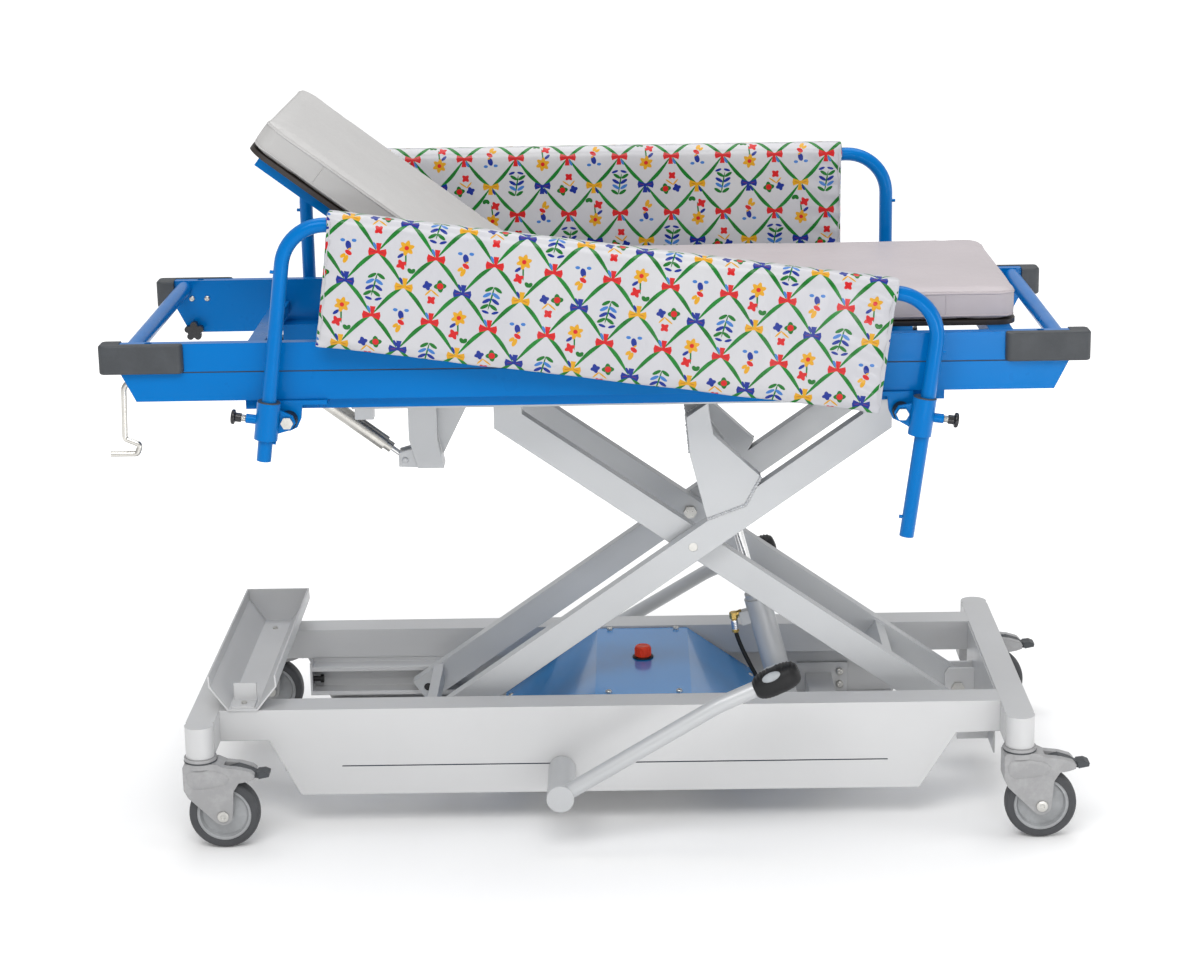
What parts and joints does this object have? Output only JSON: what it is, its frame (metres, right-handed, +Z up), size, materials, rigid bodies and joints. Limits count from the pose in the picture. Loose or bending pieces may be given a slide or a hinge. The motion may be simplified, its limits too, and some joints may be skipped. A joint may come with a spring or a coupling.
{
  "type": "stretcher trolley",
  "caption": "Hydraulic height-adjustable stretcher trolley with scissor lift, foot pump pedals, raising backrest, padded drop side rails and braked casters.",
  "frame": {"origin": "on the floor, under the middle of the platform", "axes": "+X towards the foot end, +Y towards the far side rail, +Z up"},
  "size_m": [1.691, 0.83, 1.2714],
  "materials": {
    "grey_paint": "satin",
    "blue_paint": "gloss",
    "blue_cover": "gloss",
    "stainless": "brushed",
    "chrome": "polished",
    "zinc": "satin",
    "tyre": "matt",
    "caster_plastic": "satin",
    "dark_plastic": "satin",
    "bumper": "matt",
    "rubber_black": "matt",
    "black_plastic": "satin",
    "red_cap": "satin",
    "hose": "satin",
    "board": "painted",
    "seat_vinyl": "satin",
    "back_vinyl": "satin",
    "cover_vinyl": "gloss"
  },
  "bodies": {
    "root": {"base_side_channels": "grey_paint", "base_crossbars": "grey_paint", "roller_tracks": "grey_paint", "base_brackets": "grey_paint", "pump_cover": "blue_cover", "pump_unit": "grey_paint", "gas_bottle_tray": "grey_paint", "base_fasteners": "zinc"},
    "filler_cap": {"filler_cap": "red_cap"},
    "pedals": {"pump_pedals": "grey_paint", "pedal_pads": "rubber_black"},
    "inner_arms": {"inner_arms": "grey_paint", "lift_pivot_bolts": "zinc"},
    "outer_arms": {"outer_arms": "grey_paint"},
    "lower_rollers": {"lower_rollers": "black_plastic"},
    "upper_rollers": {"upper_rollers": "black_plastic"},
    "cylinder_barrel": {"cylinder_barrel": "grey_paint", "hydraulic_hose": "hose"},
    "cylinder_rod": {"cylinder_rod": "chrome"},
    "subframe": {"tilt_subframe": "grey_paint"},
    "platform": {"platform_side_rails": "blue_paint", "platform_cross_tubes": "blue_paint", "corner_bumpers": "bumper", "side_rail_brackets": "blue_paint", "rail_pivot_bolts": "zinc", "seat_board": "board", "seat_mattress": "seat_vinyl"},
    "tilt_strut_rod": {"tilt_strut_rod": "chrome"},
    "tilt_strut_barrel": {"tilt_strut_barrel": "stainless"},
    "backrest": {"backrest_frame": "blue_paint", "backrest_board": "board", "backrest_mattress": "back_vinyl"},
    "backrest_strut_barrel": {"backrest_strut_barrel": "stainless"},
    "backrest_strut_rod": {"backrest_strut_rod": "chrome"},
    "drip_pole": {"drip_pole": "stainless"},
    "star_knob": {"star_knob": "black_plastic"},
    "sleeve_near_head": {"sleeve_near_head": "blue_paint"},
    "sleeve_near_foot": {"sleeve_near_foot": "blue_paint"},
    "side_rail_near": {"side_rail_near": "blue_paint", "rail_cover_near": "cover_vinyl"},
    "plunger_near_head": {"plunger_near_head": "black_plastic"},
    "plunger_near_foot": {"plunger_near_foot": "black_plastic"},
    "sleeve_far_head": {"sleeve_far_head": "blue_paint"},
    "sleeve_far_foot": {"sleeve_far_foot": "blue_paint"},
    "side_rail_far": {"side_rail_far": "blue_paint", "rail_cover_far": "cover_vinyl"},
    "plunger_far_head": {"plunger_far_head": "black_plastic"},
    "plunger_far_foot": {"plunger_far_foot": "black_plastic"},
    "caster_fork_head_near": {"caster_fork_head_near": "caster_plastic"},
    "caster_wheel_head_near": {"caster_wheel_head_near": "tyre"},
    "caster_brake_head_near": {"caster_brake_head_near": "dark_plastic"},
    "caster_fork_head_far": {"caster_fork_head_far": "caster_plastic"},
    "caster_wheel_head_far": {"caster_wheel_head_far": "tyre"},
    "caster_brake_head_far": {"caster_brake_head_far": "dark_plastic"},
    "caster_fork_foot_near": {"caster_fork_foot_near": "caster_plastic"},
    "caster_wheel_foot_near": {"caster_wheel_foot_near": "tyre"},
    "caster_brake_foot_near": {"caster_brake_foot_near": "dark_plastic"},
    "caster_fork_foot_far": {"caster_fork_foot_far": "caster_plastic"},
    "caster_wheel_foot_far": {"caster_wheel_foot_far": "tyre"},
    "caster_brake_foot_far": {"caster_brake_foot_far": "dark_plastic"}
  },
  "joints": [
    {"name": "filler_cap_turn", "type": "hinge", "parent": "root", "child": "filler_cap", "pos_m": [0.077, 0.017, 0.234], "axis": [0, 0, 1], "continuous": true},
    {"name": "pedal_pump", "type": "hinge", "parent": "root", "child": "pedals", "pos_m": [-0.07, 0, 0.108], "axis": [0, 1, 0], "range_deg": [-8, 28], "stiffness_Nm_per_rad": 70, "springref_deg": -11.46},
    {"name": "arm_lift", "type": "hinge", "parent": "root", "child": "inner_arms", "pos_m": [0.673, 0, 0.132], "axis": [0, -1, 0], "range_deg": [0, 21]},
    {"name": "outer_arm_fold", "type": "hinge", "parent": "inner_arms", "child": "outer_arms", "pos_m": [0.169, 0, 0.484], "axis": [0, -1, 0], "range_deg": [-42.5, 0.5]},
    {"name": "subframe_level", "type": "hinge", "parent": "outer_arms", "child": "subframe", "pos_m": [0.495, 0, 0.775], "axis": [0, -1, 0], "range_deg": [-0.5, 21.5]},
    {"name": "lower_roller_spin", "type": "hinge", "parent": "outer_arms", "child": "lower_rollers", "pos_m": [-0.335, 0, 0.132], "axis": [0, 1, 0], "continuous": true},
    {"name": "upper_roller_spin", "type": "hinge", "parent": "inner_arms", "child": "upper_rollers", "pos_m": [-0.157, 0, 0.775], "axis": [0, 1, 0], "continuous": true},
    {"name": "cylinder_lean", "type": "hinge", "parent": "root", "child": "cylinder_barrel", "pos_m": [0.35, 0, 0.115], "axis": [0, -1, 0], "range_deg": [-0.5, 18]},
    {"name": "cylinder_stroke", "type": "slide", "parent": "cylinder_barrel", "child": "cylinder_rod", "axis": [-0.2598, 0, 0.9657], "range_m": [-0.2, 0.002]},
    {"name": "platform_tilt", "type": "hinge", "parent": "subframe", "child": "platform", "pos_m": [0, 0, 0.808], "axis": [0, 1, 0], "range_deg": [-3, 10]},
    {"name": "tilt_strut_swing", "type": "hinge", "parent": "subframe", "child": "tilt_strut_rod", "pos_m": [-0.35, 0, 0.618], "axis": [0, 1, 0], "range_deg": [-4.6, 14.6]},
    {"name": "tilt_strut_stroke", "type": "slide", "parent": "tilt_strut_rod", "child": "tilt_strut_barrel", "axis": [-0.7968, 0, 0.6042], "range_m": [-0.021, 0.067]},
    {"name": "backrest_raise", "type": "hinge", "parent": "platform", "child": "backrest", "pos_m": [-0.157, 0, 0.89], "axis": [0, 1, 0], "range_deg": [-37, 8]},
    {"name": "backrest_strut_swing", "type": "hinge", "parent": "platform", "child": "backrest_strut_barrel", "pos_m": [-0.237, 0.062, 0.74], "axis": [0, 1, 0], "range_deg": [-20, 10]},
    {"name": "backrest_strut_stroke", "type": "slide", "parent": "backrest_strut_barrel", "child": "backrest_strut_rod", "axis": [-0.2687, 0, 0.9632], "range_m": [-0.1, 0.05]},
    {"name": "drip_pole_slide", "type": "slide", "parent": "platform", "child": "drip_pole", "axis": [-1, 0, 0], "range_m": [0, 0.3]},
    {"name": "star_knob_turn", "type": "hinge", "parent": "platform", "child": "star_knob", "pos_m": [-0.768, 0.265, 0.806], "axis": [0, 1, 0], "continuous": true},
    {"name": "rail_tilt_near", "type": "hinge", "parent": "platform", "child": "sleeve_near_head", "pos_m": [-0.5195, -0.334, 0.768], "axis": [0, 1, 0], "range_deg": [-7.8, 0]},
    {"name": "sleeve_turn_near", "type": "hinge", "parent": "platform", "child": "sleeve_near_foot", "pos_m": [0.5195, -0.334, 0.768], "axis": [0, 1, 0], "range_deg": [-8.3, 0.5]},
    {"name": "rail_drop_near", "type": "slide", "parent": "sleeve_near_head", "child": "side_rail_near", "axis": [0.1357, 0, 0.9907], "range_m": [-0.075, 0]},
    {"name": "plunger_pull_near_head", "type": "slide", "parent": "sleeve_near_head", "child": "plunger_near_head", "axis": [-0.9907, 0, 0.1357], "range_m": [0, 0.008], "stiffness_N_per_m": 700, "springref_m": -0.006},
    {"name": "plunger_pull_near_foot", "type": "slide", "parent": "sleeve_near_foot", "child": "plunger_near_foot", "axis": [0.9907, 0, -0.1357], "range_m": [0, 0.008], "stiffness_N_per_m": 700, "springref_m": -0.006},
    {"name": "rail_tilt_far", "type": "hinge", "parent": "platform", "child": "sleeve_far_head", "pos_m": [-0.5195, 0.334, 0.768], "axis": [0, 1, 0], "range_deg": [0, 4]},
    {"name": "sleeve_turn_far", "type": "hinge", "parent": "platform", "child": "sleeve_far_foot", "pos_m": [0.5195, 0.334, 0.768], "axis": [0, 1, 0], "range_deg": [-0.5, 4.5]},
    {"name": "rail_drop_far", "type": "slide", "parent": "sleeve_far_head", "child": "side_rail_far", "axis": [0, 0, 1], "range_m": [-0.095, 0]},
    {"name": "plunger_pull_far_head", "type": "slide", "parent": "sleeve_far_head", "child": "plunger_far_head", "axis": [-1, 0, 0], "range_m": [0, 0.008], "stiffness_N_per_m": 700, "springref_m": -0.006},
    {"name": "plunger_pull_far_foot", "type": "slide", "parent": "sleeve_far_foot", "child": "plunger_far_foot", "axis": [1, 0, 0], "range_m": [0, 0.008], "stiffness_N_per_m": 700, "springref_m": -0.006},
    {"name": "caster_swivel_head_near", "type": "hinge", "parent": "root", "child": "caster_fork_head_near", "pos_m": [-0.702, -0.325, 0.16], "axis": [0, 0, 1], "continuous": true},
    {"name": "caster_roll_head_near", "type": "hinge", "parent": "caster_fork_head_near", "child": "caster_wheel_head_near", "pos_m": [-0.664, -0.325, 0.0625], "axis": [0, 1, 0], "continuous": true},
    {"name": "caster_brake_head_near", "type": "hinge", "parent": "caster_fork_head_near", "child": "caster_brake_head_near", "pos_m": [-0.624, -0.325, 0.138], "axis": [0, 1, 0], "range_deg": [0, 15]},
    {"name": "caster_swivel_head_far", "type": "hinge", "parent": "root", "child": "caster_fork_head_far", "pos_m": [-0.702, 0.325, 0.16], "axis": [0, 0, 1], "continuous": true},
    {"name": "caster_roll_head_far", "type": "hinge", "parent": "caster_fork_head_far", "child": "caster_wheel_head_far", "pos_m": [-0.664, 0.325, 0.0625], "axis": [0, 1, 0], "continuous": true},
    {"name": "caster_brake_head_far", "type": "hinge", "parent": "caster_fork_head_far", "child": "caster_brake_head_far", "pos_m": [-0.624, 0.325, 0.138], "axis": [0, 1, 0], "range_deg": [0, 15]},
    {"name": "caster_swivel_foot_near", "type": "hinge", "parent": "root", "child": "caster_fork_foot_near", "pos_m": [0.732, -0.325, 0.16], "axis": [0, 0, 1], "continuous": true},
    {"name": "caster_roll_foot_near", "type": "hinge", "parent": "caster_fork_foot_near", "child": "caster_wheel_foot_near", "pos_m": [0.77, -0.325, 0.0625], "axis": [0, 1, 0], "continuous": true},
    {"name": "caster_brake_foot_near", "type": "hinge", "parent": "caster_fork_foot_near", "child": "caster_brake_foot_near", "pos_m": [0.81, -0.325, 0.138], "axis": [0, 1, 0], "range_deg": [0, 15]},
    {"name": "caster_swivel_foot_far", "type": "hinge", "parent": "root", "child": "caster_fork_foot_far", "pos_m": [0.732, 0.325, 0.16], "axis": [0, 0, 1], "continuous": true},
    {"name": "caster_roll_foot_far", "type": "hinge", "parent": "caster_fork_foot_far", "child": "caster_wheel_foot_far", "pos_m": [0.77, 0.325, 0.0625], "axis": [0, 1, 0], "continuous": true},
    {"name": "caster_brake_foot_far", "type": "hinge", "parent": "caster_fork_foot_far", "child": "caster_brake_foot_far", "pos_m": [0.81, 0.325, 0.138], "axis": [0, 1, 0], "range_deg": [0, 15]}
  ],
  "couplings": [
    {"joint": "outer_arm_fold", "follows": "arm_lift", "ratio": -2},
    {"joint": "subframe_level", "follows": "arm_lift", "ratio": 1},
    {"joint": "cylinder_lean", "follows": "arm_lift", "ratio": 0.7961},
    {"joint": "cylinder_stroke", "follows": "arm_lift", "m_per_rad": -0.52079},
    {"joint": "tilt_strut_swing", "follows": "platform_tilt", "ratio": 1.4175},
    {"joint": "tilt_strut_stroke", "follows": "platform_tilt", "m_per_rad": 0.37398},
    {"joint": "backrest_strut_swing", "follows": "backrest_raise", "ratio": 0.5038},
    {"joint": "backrest_strut_stroke", "follows": "backrest_raise", "m_per_rad": 0.13119},
    {"joint": "sleeve_turn_near", "follows": "rail_tilt_near", "ratio": 1},
    {"joint": "sleeve_turn_far", "follows": "rail_tilt_far", "ratio": 1}
  ]
}
